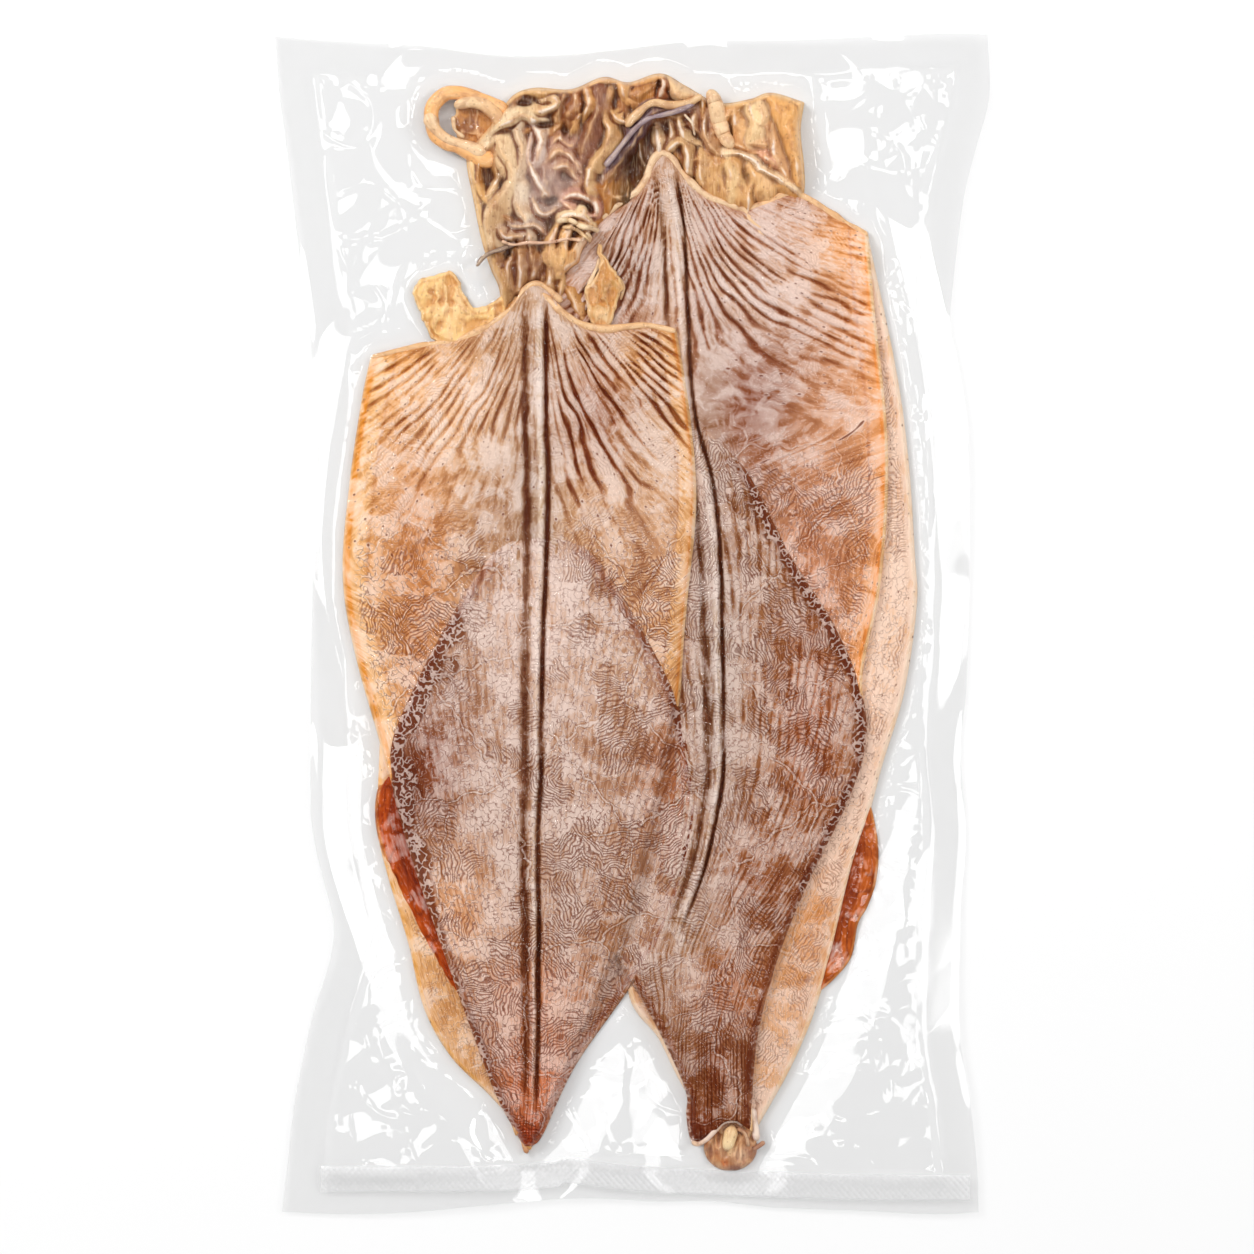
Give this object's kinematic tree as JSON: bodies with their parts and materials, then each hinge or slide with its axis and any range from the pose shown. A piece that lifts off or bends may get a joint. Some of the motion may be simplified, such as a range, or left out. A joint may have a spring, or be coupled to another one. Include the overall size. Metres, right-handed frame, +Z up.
{
  "type": "vacuum pouch of dried squid",
  "caption": "Flat clear vacuum pouch of split, dried squid, the heads and arms bunched at its top end.",
  "frame": {"origin": "centre of the pouch, at the level of the surface that it lies on", "axes": "+Y along the pouch towards the end with the heads and arms, +X across it, +Z up out of its shown face"},
  "size_m": [0.2001, 0.331, 0.0124],
  "materials": {
    "film": "clear glossy vacuum film with a knurled seal band",
    "squid_skin": "dried, wrinkled, a pale bloom over brown, darker towards the tail and the fins",
    "squid_flesh": "dried amber and cream flesh of arms, rims and edges, slightly glossy under the film"
  },
  "bodies": {
    "root": {"pouch": "film"}
  },
  "joints": []
}
